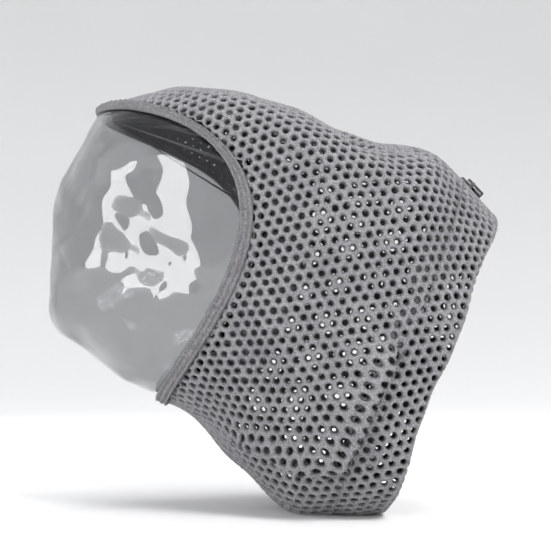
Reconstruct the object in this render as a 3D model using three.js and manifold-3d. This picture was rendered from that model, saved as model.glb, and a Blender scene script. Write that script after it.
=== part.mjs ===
// Open-mesh head hood with a clear flexible visor, a folded hem round the visor and a drawcord neck.
// Millimetres, +Z up. The visor faces -X, the neck opening faces +X and down, the wearer's right is +Y.
// The hood lies as it does on a table; the origin is the middle of its footprint, on the table.

import * as THREE from "three";
import { mergeVertices } from "three/addons/utils/BufferGeometryUtils.js";
import Module from "manifold-3d";

// ---- Overall sizes ----
const hoodLength = 267; // front of the visor to the rear corner of the neck edge
const hoodHeight = 244; // underside to the top of the crown, inside the mesh
const hoodWidth = 164; // across the cheeks, inside the mesh

// ---- Fabric, visor and cord ----
const meshThickness = 2.6; // one layer of spacer mesh
const gap = 0.4; // air kept between pieces that touch
const seamGap = 0.5; // between the two panels along the crown and the chin
const hemWidth = 7.5; // folded hem round the visor
const hemThickness = 4.6; // two pressed layers
const threadSize = 0.7;
const grooveDepth = 1.2; // how far a row of stitches pulls the hem in
const grooveWidth = 1.6;
const stitchShares = [0.32, 0.74]; // where the two rows of stitches run across the hem
const visorThickness = 0.6;
const visorSplit = 0.2; // between the four nodes of the one sheet
const visorMargin = 14; // strip of the visor sewn behind the mesh
const visorRise = 0.588; // height of the visor's foremost point, as a share of the hood's height
const tapeWidth = 14;
const tapeThickness = 1;
const tapeClearance = 0.9; // tape to mesh, where the stitches hold them together
const casingWidth = 32; // neck edge to the row of stitches that closes the casing
const channelHeight = 4; // free height for the cord inside the casing
const cordDiameter = 2.4;
const cordToStitches = 6; // the cord's centre line to the row of stitches
const casingMouth = 16; // opening between the casing's two ends at the nape
const crownFullness = 0.16; // 0 is an ellipse, more is boxier
const underFullness = 0.42;

// ---- Cord lock ----
const lockSideWall = 1.6; // beside the bore, across the two cords
const lockFaceWall = 1.1; // beside the bore, along the cords
const lockFloor = 1.2; // under the bore
const lockCornerRadius = 4.4;
const plungerWall = 1.55; // beside the cord hole
const plungerPlay = 0.3; // radial, in the bore
const plungerTravel = 2.8;
const plungerLand = 2.2; // plunger below its cord hole
const buttonHeight = 3.8;
const cordPlay = 0.2; // each side of a cord
const springLength = 4.4;
const springWire = 0.5;
const springTurns = 4;
const tailRise = 7.6; // inner cord's height over the skin, past the bend at the nape
const lockAlongTail = 22; // middle plane of the hood to the lock
const tailEnd = 46; // middle plane of the hood to the cord's ends
const knotLength = 8;
const knotDiameter = 8.4;

// ---- How finely round shapes are cut ----
const sideSteps = 24; // crown to chin, each side
const panelRows = 13;
const domeRows = 9;

const cordRadius = cordDiameter / 2;
const cordInset = casingWidth - cordToStitches; // neck edge to the cord's centre line
const cordSpacing = cordDiameter + 0.3;

// Stations of the hood's skin from the visor rim back to the neck edge: where it crosses the middle plane
// over the crown and under the chin, and where its side stands. x and z are shares of the hood's length
// and height, out is a share of half its width. What would sink below the table lies flat on it.
const stations = [
  { crown: [0.094, 0.944], side: [0.424, 0.715], under: [0.24, 0.266], out: 0.9 },
  { crown: [0.255, 1.0], side: [0.56, 0.67], under: [0.335, 0.207], out: 0.99 },
  { crown: [0.475, 0.957], side: [0.67, 0.6], under: [0.435, 0.088], out: 1.0 },
  { crown: [0.67, 0.879], side: [0.75, 0.516], under: [0.53, -0.006], out: 0.97 },
  { crown: [0.835, 0.842], side: [0.805, 0.433], under: [0.63, -0.02], out: 0.9 },
  { crown: [0.992, 0.68], side: [0.84, 0.346], under: [0.735, -0.02], out: 0.82 },
];

// ---- Colours and finishes ----
const finish = (color, roughness, metalness = 0) =>
  new THREE.MeshStandardMaterial({ color, roughness, metalness });

const yarnGrey = () => finish(0x9a999b, 0.9);
const threadGrey = () => finish(0xa6a6a8, 0.7);
const tapeGrey = () => finish(0x6f6f73, 0.85);
const blackCord = () => finish(0x17171a, 0.8);
const blackPlastic = () => finish(0x111113, 0.35);
const springSteel = () => finish(0xb9bcc0, 0.3, 1);
const clearSheet = () => {
  const sheet = finish(0xdfe3e6, 0.05);
  sheet.transparent = true;
  sheet.opacity = 0.3;
  return sheet;
};

// ---- Helpers ----
const wasm = await Module();
wasm.setup();

function solidOf(geometry) {
  const bare = geometry.clone();
  bare.deleteAttribute("normal");
  bare.deleteAttribute("uv");
  const merged = mergeVertices(bare, 1e-4);
  const triVerts = new Uint32Array(merged.index.array);
  const vertProperties = merged.attributes.position.array;
  return new wasm.Manifold(new wasm.Mesh({ numProp: 3, vertProperties, triVerts }));
}

function geometryOf(solid) {
  const { numProp, numVert, vertProperties, triVerts } = solid.getMesh();
  const position = new Float32Array(numVert * 3);
  for (let i = 0; i < numVert; i++) {
    position.set(vertProperties.subarray(i * numProp, i * numProp + 3), i * 3);
  }
  const geometry = new THREE.BufferGeometry();
  geometry.setAttribute("position", new THREE.BufferAttribute(position, 3));
  geometry.setIndex(new THREE.BufferAttribute(new Uint32Array(triVerts), 1));
  geometry.computeVertexNormals();
  return geometry;
}

// A closed skin from points and triangles: equal points are joined, flat triangles are dropped, and the
// faces are turned outwards.
function closedSkin(points, triangles) {
  const position = new Float32Array(points.flatMap((p) => p.toArray()));
  const raw = new THREE.BufferGeometry();
  raw.setAttribute("position", new THREE.BufferAttribute(position, 3));
  raw.setIndex(triangles.flat());
  const merged = mergeVertices(raw, 1e-4);
  const at = (i) => new THREE.Vector3().fromBufferAttribute(merged.attributes.position, i);
  const kept = [];
  let volume = 0;
  for (let i = 0; i < merged.index.count; i += 3) {
    const [a, b, c] = [0, 1, 2].map((k) => merged.index.getX(i + k));
    if (a === b || b === c || c === a) continue;
    kept.push([a, b, c]);
    volume += at(a).dot(at(b).cross(at(c)));
  }
  const facing = volume < 0 ? kept.map(([a, b, c]) => [a, c, b]) : kept;
  merged.setIndex(facing.flat());
  merged.computeVertexNormals();
  return merged;
}

// Joins rings of points into a closed body. Every ring has the same count. With wrap the last ring meets
// the first; otherwise both ends are closed. A second set of rings makes a hole right through.
function loft(rings, { wrap = false, hole = null } = {}) {
  const count = rings[0].length;
  const outerPoints = rings.flat();
  const points = hole ? [...outerPoints, ...hole.flat()] : outerPoints;
  const triangles = [];
  const quad = (a, b, c, d) => triangles.push([a, b, c], [a, c, d]);
  const index = (ring, k, base = 0) => base + (ring % rings.length) * count + (k % count);
  const last = wrap ? rings.length : rings.length - 1;
  for (let i = 0; i < last; i++) {
    for (let k = 0; k < count; k++) {
      quad(index(i, k), index(i + 1, k), index(i + 1, k + 1), index(i, k + 1));
      if (!hole) continue;
      const base = outerPoints.length;
      quad(index(i, k, base), index(i, k + 1, base), index(i + 1, k + 1, base), index(i + 1, k, base));
    }
  }
  if (wrap) return closedSkin(points, triangles);
  const end = rings.length - 1;
  if (hole) {
    const base = outerPoints.length;
    for (let k = 0; k < count; k++) {
      quad(index(0, k), index(0, k + 1), index(0, k + 1, base), index(0, k, base));
      quad(index(end, k), index(end, k, base), index(end, k + 1, base), index(end, k + 1));
    }
    return closedSkin(points, triangles);
  }
  for (let k = 0; k < count / 2 - 1; k++) {
    quad(index(0, k), index(0, k + 1), index(0, count - 2 - k), index(0, count - 1 - k));
    quad(index(end, k), index(end, count - 1 - k), index(end, count - 2 - k), index(end, k + 1));
  }
  return closedSkin(points, triangles);
}

// ---- The hood's skin ----
function stationLine(pointOf) {
  const points = stations.map((station) => pointOf(station));
  return new THREE.CatmullRomCurve3(points, false, "centripetal");
}

const place = ([x, z], y = 0) =>
  new THREE.Vector3((x - 0.5) * hoodLength, y, meshThickness + z * hoodHeight);
const crownLine = stationLine((s) => place(s.crown));
const sideLine = stationLine((s) => place(s.side, (s.out * hoodWidth) / 2));
const underLine = stationLine((s) => place(s.under));

// A point of the skin's inner face. back runs from 0 at the visor rim to 1 at the neck edge, angle from 0
// at the crown to PI at the chin, positive on the wearer's right.
function skinPoint(back, angle) {
  const crown = crownLine.getPoint(back);
  const side = sideLine.getPoint(back);
  const under = underLine.getPoint(back);
  const middle = crown.clone().add(under).multiplyScalar(0.5);
  const cos = Math.cos(angle);
  const sin = Math.sin(angle);
  const fullness = cos > 0 ? crownFullness : underFullness;
  const point = middle.clone();
  point.addScaledVector(crown.sub(under), cos / 2);
  point.x += (side.x - middle.x) * sin * sin;
  point.z += (side.z - middle.z) * sin * sin;
  point.y = side.y * sin * (1 + fullness * cos * cos);
  point.z = Math.max(point.z, meshThickness);
  return point;
}

function skinNormal(back, angle) {
  const step = 1e-3;
  const from = Math.min(Math.max(back - step, 0), 1 - 2 * step);
  const along = skinPoint(from + 2 * step, angle).sub(skinPoint(from, angle));
  const round = skinPoint(back, angle + step).sub(skinPoint(back, angle - step));
  return along.cross(round).normalize();
}

// The angle at which the skin stands a small distance y out from the middle plane, at crown or chin.
function angleAt(back, y, underChin = false) {
  const fullness = underChin ? underFullness : crownFullness;
  const small = y / (sideLine.getPoint(back).y * (1 + fullness));
  return underChin ? Math.PI - small : small;
}

// How far back the skin is at a distance along it from the visor rim, or from the neck edge.
function backAt(angle, distance, fromNeck = false) {
  const step = 1 / 400;
  const share = (k) => (fromNeck ? 1 - k * step : k * step);
  let walked = 0;
  let here = skinPoint(share(0), angle);
  for (let k = 1; k <= 400; k++) {
    const next = skinPoint(share(k), angle);
    const length = next.distanceTo(here);
    if (walked + length >= distance) return share(k - 1 + (distance - walked) / length);
    walked += length;
    here = next;
  }
  return share(400);
}

function offSkin(back, angle, height) {
  return skinPoint(back, angle).addScaledVector(skinNormal(back, angle), height);
}

// Section points given as [distance from the edge, height off the skin].
function bandRing(angle, section, fromNeck = false) {
  return section.map(([distance, height]) =>
    offSkin(backAt(angle, Math.max(distance, 0), fromNeck), angle, height),
  );
}

const halfTurn = Array.from({ length: sideSteps + 1 }, (_, i) => (i * Math.PI) / sideSteps);
const fullTurn = Array.from({ length: 2 * sideSteps }, (_, i) => (i * Math.PI) / sideSteps);

// ---- Mesh panels, one each side, meeting along the crown and under the chin ----
function rowsBehindMargin(angle) {
  const marginEnd = backAt(angle, visorMargin);
  const end = backAt(angle, casingWidth + grooveWidth, true);
  return Array.from({ length: panelRows + 1 }, (_, k) => marginEnd + ((end - marginEnd) * k) / panelRows);
}

function meshPanel(side) {
  const rings = halfTurn.map((angle, i) => {
    const rows = [backAt(angle, hemWidth + 2 * gap), ...rowsBehindMargin(angle)];
    const edge = i === 0 || i === sideSteps;
    const turned = (back) => {
      if (!edge) return side * angle;
      return side * angleAt(back, seamGap / 2, i === sideSteps);
    };
    const outer = rows.map((back) => offSkin(back, turned(back), meshThickness));
    const inner = rows.map((back) => offSkin(back, turned(back), 0));
    return [...outer, ...inner.reverse()];
  });
  return loft(rings);
}

// ---- Seam tapes, inside the crown seam and the chin seam ----
function seamTape(underChin) {
  const middle = underChin ? Math.PI : 0;
  const from = backAt(middle, visorMargin + 2 * gap);
  const rings = [from, ...rowsBehindMargin(middle).slice(1)].map((back) => {
    const across = [-0.5, 0, 0.5].map((share) => angleAt(back, share * tapeWidth, underChin));
    const outer = across.map((angle) => offSkin(back, angle, -tapeClearance));
    const inner = across.map((angle) => offSkin(back, angle, -tapeClearance - tapeThickness));
    return [...outer, ...inner.reverse()];
  });
  return loft(rings);
}

// ---- Folded hem round the visor, with two pulled-in rows of stitches ----
const stitchRows = stitchShares.map((share) => share * hemWidth);

function visorHem() {
  const grooves = stitchRows.flatMap((row) => [
    [row - grooveWidth / 2, hemThickness],
    [row - grooveWidth / 2 + 0.3, hemThickness - grooveDepth],
    [row + grooveWidth / 2 - 0.3, hemThickness - grooveDepth],
    [row + grooveWidth / 2, hemThickness],
  ]);
  const nose = [
    [1.2, 0],
    [0.3, hemThickness * 0.2],
    [0, hemThickness / 2],
    [0.3, hemThickness * 0.8],
    [1.2, hemThickness],
  ];
  const section = [[hemWidth, 0], ...nose, ...grooves, [hemWidth, hemThickness]];
  return loft(fullTurn.map((angle) => bandRing(angle, section)), { wrap: true });
}

function threadSection(distance, height) {
  const half = threadSize / 2;
  return [
    [distance - half, height],
    [distance, height + half],
    [distance + half, height],
    [distance, height - half],
  ];
}

function hemThread(row) {
  const section = threadSection(row, hemThickness - grooveDepth + gap + threadSize / 2);
  return loft(fullTurn.map((angle) => bandRing(angle, section)), { wrap: true });
}

// ---- Visor: a clear sheet that bulges forward from the hem, with its margin behind the mesh ----
// It is one sheet, in four nodes that stand a hair apart along the middle plane and at the sides.
function visorRings() {
  const middleHeight = -gap - visorThickness / 2;
  const front = place([0, visorRise]);
  front.x += visorThickness / 2;
  const strips = fullTurn.map((angle) => {
    const rim = offSkin(0, angle, middleHeight);
    const strip = [];
    for (let k = 0; k < domeRows; k++) {
      const turn = (k / domeRows) * (Math.PI / 2);
      const spread = Math.sin(turn);
      const x = front.x + (rim.x - front.x) * (1 - Math.cos(turn));
      strip.push(new THREE.Vector3(x, rim.y * spread, front.z + (rim.z - front.z) * spread));
    }
    const margins = [0, hemWidth + gap, visorMargin];
    return [...strip, ...margins.map((distance) => offSkin(backAt(angle, distance), angle, middleHeight))];
  });
  const facing = (i, k) => {
    if (k === 0) return new THREE.Vector3(-1, 0, 0);
    const count = strips.length;
    const round = strips[(i + 1) % count][k].clone().sub(strips[(i + count - 1) % count][k]);
    const strip = strips[i];
    const along = strip[Math.min(k + 1, strip.length - 1)].clone().sub(strip[k - 1]);
    return along.cross(round).normalize();
  };
  return strips.map((strip, i) => {
    const face = (sign) =>
      strip.map((p, k) => p.clone().addScaledVector(facing(i, k), (sign * visorThickness) / 2));
    return [...face(1), ...face(-1).reverse()];
  });
}

const wholeVisor = visorRings();

// The quarters go round from the crown: upper right, lower right, lower left, upper left.
function visorQuarter(quarter) {
  const side = quarter < 2 ? 1 : -1;
  const up = quarter === 0 || quarter === 3 ? 1 : -1;
  const apart = new THREE.Vector3(0, side, up).multiplyScalar(visorSplit / 2);
  const from = (quarter * sideSteps) / 2;
  const rings = Array.from({ length: sideSteps / 2 + 1 }, (_, i) =>
    wholeVisor[(from + i) % wholeVisor.length].map((p) => p.clone().add(apart)),
  );
  return loft(rings);
}

// ---- Neck casing: the mesh folded back on itself into a flat channel, open at the nape ----
const mouthAngle = angleAt(1, casingMouth / 2);
const casingTurn = [mouthAngle, ...fullTurn.filter((a) => a > mouthAngle && a < 2 * Math.PI - mouthAngle),
  2 * Math.PI - mouthAngle];
const channelMiddle = -channelHeight / 2;
const foldReach = 4; // from the neck edge to where its rounded fold becomes flat
const foldDrop = 2; // how far the fold has closed a quarter of the way along
const channelCorner = 3.6; // from the neck edge to the channel's bevelled corner
const channelBevel = 0.6;

function neckCasing() {
  const top = meshThickness;
  const bottom = -channelHeight - meshThickness;
  const halfway = cordInset / 2;
  const section = [
    [casingWidth, top],
    [cordInset, top],
    [halfway, top],
    [foldReach, top],
    [foldReach / 4, top - foldDrop],
    [0, channelMiddle],
    [foldReach / 4, bottom + foldDrop],
    [foldReach, bottom],
    [halfway, bottom],
    [cordInset, bottom],
    [casingWidth, bottom],
    [casingWidth, channelMiddle],
  ];
  const inset = casingWidth - meshThickness;
  const channel = [
    [inset, 0],
    [cordInset, 0],
    [halfway, 0],
    [foldReach + 1, 0],
    [channelCorner, -channelBevel],
    [meshThickness, channelMiddle],
    [channelCorner, -channelHeight + channelBevel],
    [foldReach + 1, -channelHeight],
    [halfway, -channelHeight],
    [cordInset, -channelHeight],
    [inset, -channelHeight],
    [inset, channelMiddle],
  ];
  return loft(
    casingTurn.map((angle) => bandRing(angle, section, true)),
    { hole: casingTurn.map((angle) => bandRing(angle, channel, true)) },
  );
}

function casingThread() {
  // It lies in the groove between the casing and the panels.
  const section = threadSection(casingWidth + grooveWidth / 2, meshThickness / 2);
  return loft(fullTurn.map((angle) => bandRing(angle, section, true)), { wrap: true });
}

// ---- The nape's own frame, where the cord comes out: right (+Y), outwards and towards the neck edge ----
const napeBack = backAt(0, cordInset, true);
const napePoint = skinPoint(napeBack, 0);
const napeOut = skinNormal(napeBack, 0);
const napeRight = new THREE.Vector3(0, 1, 0);
const napeDown = napeRight.clone().cross(napeOut).normalize();

const atNape = (right, out, down = 0) =>
  napePoint.clone().addScaledVector(napeRight, right).addScaledVector(napeOut, out)
    .addScaledVector(napeDown, down);

// ---- Drawcord: round the neck inside the casing, out at the nape and through the lock ----
const outerTail = tailRise + cordSpacing;
const leftTail = [
  atNape(tailEnd, outerTail),
  atNape(34, outerTail),
  atNape(22, outerTail),
  atNape(11, outerTail),
  atNape(6, outerTail),
  atNape(2, outerTail - 1),
  atNape(-1.2, outerTail - 3.3),
  atNape(-3, 4),
  atNape(-4.6, 1),
  atNape(-6.6, -1.3),
];
const rightTail = [
  atNape(5.6, -1.5),
  atNape(3.2, 0),
  atNape(2, 2.6),
  atNape(2.7, 5.2),
  atNape(5.2, 7.2),
  atNape(9, tailRise),
  atNape(17, tailRise),
  atNape(30, tailRise),
  atNape(tailEnd, tailRise),
];

function drawcord() {
  const held = casingTurn
    .map((angle) => bandRing(angle, [[cordInset, channelMiddle]], true)[0])
    .reverse();
  const route = new THREE.CatmullRomCurve3([...leftTail, ...held, ...rightTail], false, "centripetal");
  // The tube steps from one point of the route to the next, so its steps are short only in the bends.
  route.getPointAt = route.getPoint;
  route.getTangentAt = route.getTangent;
  const section = new THREE.Shape();
  for (let k = 0; k < 8; k++) {
    const turn = (k * Math.PI) / 4;
    const [x, y] = [cordRadius * Math.cos(turn), cordRadius * Math.sin(turn)];
    if (k === 0) section.moveTo(x, y);
    else section.lineTo(x, y);
  }
  section.closePath();
  return new THREE.ExtrudeGeometry(section, { steps: route.points.length - 1, extrudePath: route });
}

function cordKnot() {
  const half = knotLength / 2;
  const radius = knotDiameter / 2;
  const profile = [
    [0, -half],
    [radius * 0.62, -half],
    [radius * 0.92, -half * 0.6],
    [radius, -half * 0.1],
    [radius * 0.9, half * 0.5],
    [radius * 0.55, half * 0.95],
    [0, half],
  ].map(([r, y]) => new THREE.Vector2(r, y));
  return new THREE.LatheGeometry(profile, 20);
}

// ---- Cord lock: x along the cords, y across the two cords, z the way the button points ----
const bodyHoleHeight = cordDiameter + 2 * cordPlay + plungerTravel;
const holeWidth = cordSpacing + cordDiameter + 2 * cordPlay;
const plungerDiameter = holeWidth + 2 * plungerWall;
const boreDiameter = plungerDiameter + 2 * plungerPlay;
const lockWidth = boreDiameter + 2 * lockSideWall;
const lockDepth = boreDiameter + 2 * lockFaceWall;
const plungerHoleBottom = plungerTravel - bodyHoleHeight / 2;
const plungerHoleTop = plungerHoleBottom + bodyHoleHeight;
const cordHeight = bodyHoleHeight / 2 - cordPlay - cordRadius;
const plungerBottom = plungerHoleBottom - plungerLand;
const bodyTop = plungerHoleTop + 0.3;
const boreFloor = plungerBottom - springLength;
const bodyBottom = boreFloor - lockFloor;

function roundedRectangle(width, height, radius) {
  const shape = new THREE.Shape();
  const [x, y] = [width / 2 - radius, height / 2 - radius];
  shape.absarc(x, y, radius, 0, Math.PI / 2);
  shape.absarc(-x, y, radius, Math.PI / 2, Math.PI);
  shape.absarc(-x, -y, radius, Math.PI, Math.PI * 1.5);
  shape.absarc(x, -y, radius, Math.PI * 1.5, Math.PI * 2);
  shape.closePath();
  return shape;
}

function uprightCylinder(radius, from, to, segments = 32) {
  const cylinder = new THREE.CylinderGeometry(radius, radius, to - from, segments);
  return cylinder.rotateX(Math.PI / 2).translate(0, 0, (from + to) / 2);
}

function cordHole(from, to) {
  const hole = new THREE.BoxGeometry(2 * lockDepth, holeWidth, to - from);
  return hole.translate(0, 0, (from + to) / 2);
}

function lockBody() {
  const bevel = 1;
  const outline = roundedRectangle(lockDepth - 2 * bevel, lockWidth - 2 * bevel, lockCornerRadius - bevel);
  const block = new THREE.ExtrudeGeometry(outline, {
    depth: bodyTop - bodyBottom - 2 * bevel,
    bevelThickness: bevel,
    bevelSize: bevel,
    bevelSegments: 3,
    curveSegments: 6,
  }).translate(0, 0, bodyBottom + bevel);
  const bore = uprightCylinder(boreDiameter / 2, boreFloor, bodyTop + 1);
  const hole = cordHole(-bodyHoleHeight / 2, bodyHoleHeight / 2);
  return geometryOf(solidOf(block).subtract(solidOf(bore)).subtract(solidOf(hole)));
}

function lockPlunger() {
  const radius = plungerDiameter / 2;
  const top = bodyTop + buttonHeight;
  const profile = [
    [0, plungerBottom],
    [radius - 0.5, plungerBottom],
    [radius, plungerBottom + 0.5],
    [radius, top - 1.2],
    [radius - 0.4, top - 0.4],
    [radius - 1.3, top],
    [0, top + 0.2],
  ].map(([r, z]) => new THREE.Vector2(r, z));
  const stem = new THREE.LatheGeometry(profile, 32).rotateX(Math.PI / 2);
  return geometryOf(solidOf(stem).subtract(solidOf(cordHole(plungerHoleBottom, plungerHoleTop))));
}

function lockSpring() {
  const radius = plungerDiameter / 2 - 1.1;
  const from = boreFloor + gap + springWire / 2;
  const to = plungerBottom - gap - springWire / 2;
  const points = [];
  const count = springTurns * 12;
  for (let k = 0; k <= count; k++) {
    const share = k / count;
    const turn = share * springTurns * 2 * Math.PI;
    const height = from + (to - from) * share;
    points.push(new THREE.Vector3(radius * Math.cos(turn), radius * Math.sin(turn), height));
  }
  const coil = new THREE.CatmullRomCurve3(points);
  const section = new THREE.Shape().absarc(0, 0, springWire / 2, 0, 2 * Math.PI);
  return new THREE.ExtrudeGeometry(section, { steps: count, extrudePath: coil, curveSegments: 3 });
}

// ---- Assembly ----
const hood = new THREE.Group();

function add(parent, name, geometry, material) {
  const mesh = new THREE.Mesh(geometry, material);
  mesh.name = name;
  parent.add(mesh);
  return mesh;
}

add(hood, "left_mesh_panel", meshPanel(-1), yarnGrey());
add(hood, "right_mesh_panel", meshPanel(1), yarnGrey());
add(hood, "crown_seam_tape", seamTape(false), tapeGrey());
add(hood, "chin_seam_tape", seamTape(true), tapeGrey());
add(hood, "visor_hem", visorHem(), yarnGrey());
add(hood, "visor_stitch_front", hemThread(stitchRows[0]), threadGrey());
add(hood, "visor_stitch_rear", hemThread(stitchRows[1]), threadGrey());
["upper_right", "lower_right", "lower_left", "upper_left"].forEach((corner, quarter) =>
  add(hood, "visor_" + corner, visorQuarter(quarter), clearSheet()),
);
add(hood, "neck_casing", neckCasing(), yarnGrey());
add(hood, "casing_stitch", casingThread(), threadGrey());
add(hood, "drawcord", drawcord(), blackCord());

const knot = add(hood, "cord_knot", cordKnot(), blackCord());
knot.position.copy(atNape(tailEnd + 0.3 + knotLength / 2, tailRise + cordSpacing / 2));

const lock = new THREE.Group();
lock.matrixAutoUpdate = false;
lock.matrix.makeBasis(napeRight.clone().negate(), napeOut, napeDown.clone().negate());
lock.matrix.setPosition(atNape(lockAlongTail, tailRise + cordSpacing / 2, cordHeight));
add(lock, "cord_lock_body", lockBody(), blackPlastic());
add(lock, "cord_lock_plunger", lockPlunger(), blackPlastic());
add(lock, "cord_lock_spring", lockSpring(), springSteel());
hood.add(lock);

// The origin goes to the middle of the footprint, on the table.
hood.updateMatrixWorld(true);
const bounds = new THREE.Box3().setFromObject(hood, true);
hood.position.set(-(bounds.min.x + bounds.max.x) / 2, 0, -bounds.min.z);

export default hood;
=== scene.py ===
import math

import bpy
import numpy as np
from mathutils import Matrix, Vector


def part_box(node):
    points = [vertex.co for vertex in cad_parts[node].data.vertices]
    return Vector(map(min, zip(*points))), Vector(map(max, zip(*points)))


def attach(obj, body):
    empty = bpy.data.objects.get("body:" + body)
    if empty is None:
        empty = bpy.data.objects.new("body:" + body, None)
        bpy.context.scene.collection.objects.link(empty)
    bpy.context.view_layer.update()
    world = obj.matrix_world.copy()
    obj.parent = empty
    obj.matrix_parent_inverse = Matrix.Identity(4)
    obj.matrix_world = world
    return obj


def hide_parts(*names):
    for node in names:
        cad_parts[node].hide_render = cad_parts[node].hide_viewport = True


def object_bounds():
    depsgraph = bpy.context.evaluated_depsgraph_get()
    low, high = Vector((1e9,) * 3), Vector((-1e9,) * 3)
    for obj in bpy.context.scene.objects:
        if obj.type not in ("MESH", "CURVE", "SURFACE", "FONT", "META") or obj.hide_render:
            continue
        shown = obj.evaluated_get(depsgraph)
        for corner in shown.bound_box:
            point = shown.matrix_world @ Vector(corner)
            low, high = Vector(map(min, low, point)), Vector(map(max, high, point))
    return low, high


# Looks of an open-mesh head hood with a clear visor and a drawcord neck, built round the fixed CAD frame.
# Metres, +Z up. The visor faces -X and the wearer's right is +Y, so the near side is the wearer's left.

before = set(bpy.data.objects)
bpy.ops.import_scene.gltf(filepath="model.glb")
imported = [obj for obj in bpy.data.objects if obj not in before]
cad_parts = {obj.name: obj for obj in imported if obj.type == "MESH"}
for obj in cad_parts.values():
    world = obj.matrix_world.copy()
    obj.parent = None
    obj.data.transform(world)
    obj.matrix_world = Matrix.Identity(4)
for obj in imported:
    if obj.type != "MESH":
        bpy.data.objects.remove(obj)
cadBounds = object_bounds()
print("frame loaded,", len(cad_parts), "nodes")

# the camera comes first
cameraSet = {
    "away": 0.600,  # from the middle plane of the hood
    "centre": (0.0012, 0.0, 0.1377),  # what it is aimed at
    "height": 0.0861,
    "lens": 65.3,
}


def makeCamera():
    camera = bpy.data.objects.new("camera", bpy.data.cameras.new("camera"))
    bpy.context.scene.collection.objects.link(camera)
    camera.data.lens = cameraSet["lens"]
    camera.data.clip_start = 0.01
    camera.location = (0, -cameraSet["away"], cameraSet["height"])
    aim = Vector(cameraSet["centre"]) - camera.location
    camera.rotation_mode = "QUATERNION"
    camera.rotation_quaternion = aim.to_track_quat("-Z", "Y")
    bpy.context.scene.camera = camera


makeCamera()

# the hood's skin: its inner face, as a formula, the same as the solid parts were built from
hood = {
    "length": 0.267,
    "height": 0.244,
    "width": 0.164,
    "layer": 0.0026,  # one layer of spacer mesh
    "crownFull": 0.16,
    "underFull": 0.42,
    # stations from the visor rim back to the neck edge, as shares of length and height
    "crown": [(0.094, 0.944), (0.255, 1.0), (0.475, 0.957), (0.67, 0.879), (0.835, 0.842), (0.992, 0.68)],
    "side": [(0.424, 0.715), (0.56, 0.67), (0.67, 0.6), (0.75, 0.516), (0.805, 0.433), (0.84, 0.346)],
    "under": [(0.24, 0.266), (0.335, 0.207), (0.435, 0.088), (0.53, -0.006), (0.63, -0.02), (0.735, -0.02)],
    "out": [0.9, 0.99, 1.0, 0.97, 0.9, 0.82],  # half width at each station
}
visorNodes = ["visor_upper_right", "visor_lower_right", "visor_lower_left", "visor_upper_left"]
shiftX = min(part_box(node)[0].x for node in visorNodes) + hood["length"] / 2


def placed(pairs, outs=None):
    outs = outs or [0] * len(pairs)
    return [
        ((x - 0.5) * hood["length"] + shiftX, out * hood["width"] / 2, hood["layer"] + z * hood["height"])
        for (x, z), out in zip(pairs, outs)
    ]


def stationLine(shares, points):
    points = np.array(points)
    ends = np.vstack([2 * points[0] - points[1], points, 2 * points[-1] - points[-2]])
    place = np.clip(np.asarray(shares, float), 0, 1) * (len(points) - 1)
    first = np.minimum(place.astype(int), len(points) - 2)
    t = (place - first)[..., None]
    p0, p1, p2, p3 = (ends[first + k] for k in range(4))
    steps = (p1 - p0, p2 - p1, p3 - p2)
    d0, d1, d2 = (np.sqrt(np.linalg.norm(run, axis=-1, keepdims=True)) for run in steps)
    lead = ((p1 - p0) / d0 - (p2 - p0) / (d0 + d1) + (p2 - p1) / d1) * d1
    trail = ((p2 - p1) / d1 - (p3 - p1) / (d1 + d2) + (p3 - p2) / d2) * d1
    square = 3 * (p2 - p1) - 2 * lead - trail
    return p1 + t * lead + t**2 * square + t**3 * (2 * (p1 - p2) + lead + trail)


crownPoints = placed(hood["crown"])
sidePoints = placed(hood["side"], hood["out"])
underPoints = placed(hood["under"])


def skinPoint(back, angle):
    # back: 0 at the visor rim, 1 at the neck edge; angle: 0 at the crown, pi at the chin
    back, angle = np.broadcast_arrays(np.asarray(back, float), np.asarray(angle, float))
    crown = stationLine(back, crownPoints)
    side = stationLine(back, sidePoints)
    under = stationLine(back, underPoints)
    middle = (crown + under) / 2
    rise = crown - under
    cos, sin = np.cos(angle), np.sin(angle)
    full = np.where(cos > 0, hood["crownFull"], hood["underFull"])
    x = middle[..., 0] + rise[..., 0] * cos / 2 + (side - middle)[..., 0] * sin**2
    y = side[..., 1] * sin * (1 + full * cos**2)
    z = middle[..., 2] + rise[..., 2] * cos / 2 + (side - middle)[..., 2] * sin**2
    return np.stack([x, y, np.maximum(z, hood["layer"])], -1)


def unit(vectors):
    return vectors / np.maximum(np.linalg.norm(vectors, axis=-1, keepdims=True), 1e-12)


def skinNormal(back, angle):
    step = 1e-3
    back = np.clip(np.asarray(back, float) - step, 0, 1 - 2 * step)
    along = skinPoint(back + 2 * step, angle) - skinPoint(back, angle)
    angle = np.asarray(angle)
    around = skinPoint(back + step, angle + step) - skinPoint(back + step, angle - step)
    return unit(np.cross(along, around))


def offSkin(back, angle, height):
    return skinPoint(back, angle) + skinNormal(back, angle) * np.asarray(height)[..., None]


def walkLength(angle):
    line = skinPoint(np.linspace(0, 1, 241), angle)
    return np.concatenate([[0], np.cumsum(np.linalg.norm(np.diff(line, axis=0), axis=1))])


def backAt(angle, distances, fromNeck=False):
    walked = walkLength(angle)
    distances = np.asarray(distances, float)
    return np.interp(walked[-1] - distances if fromNeck else distances, walked, np.linspace(0, 1, 241))


def smooth(t):
    t = np.clip(t, 0, 1)
    return t * t * (3 - 2 * t)


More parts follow.
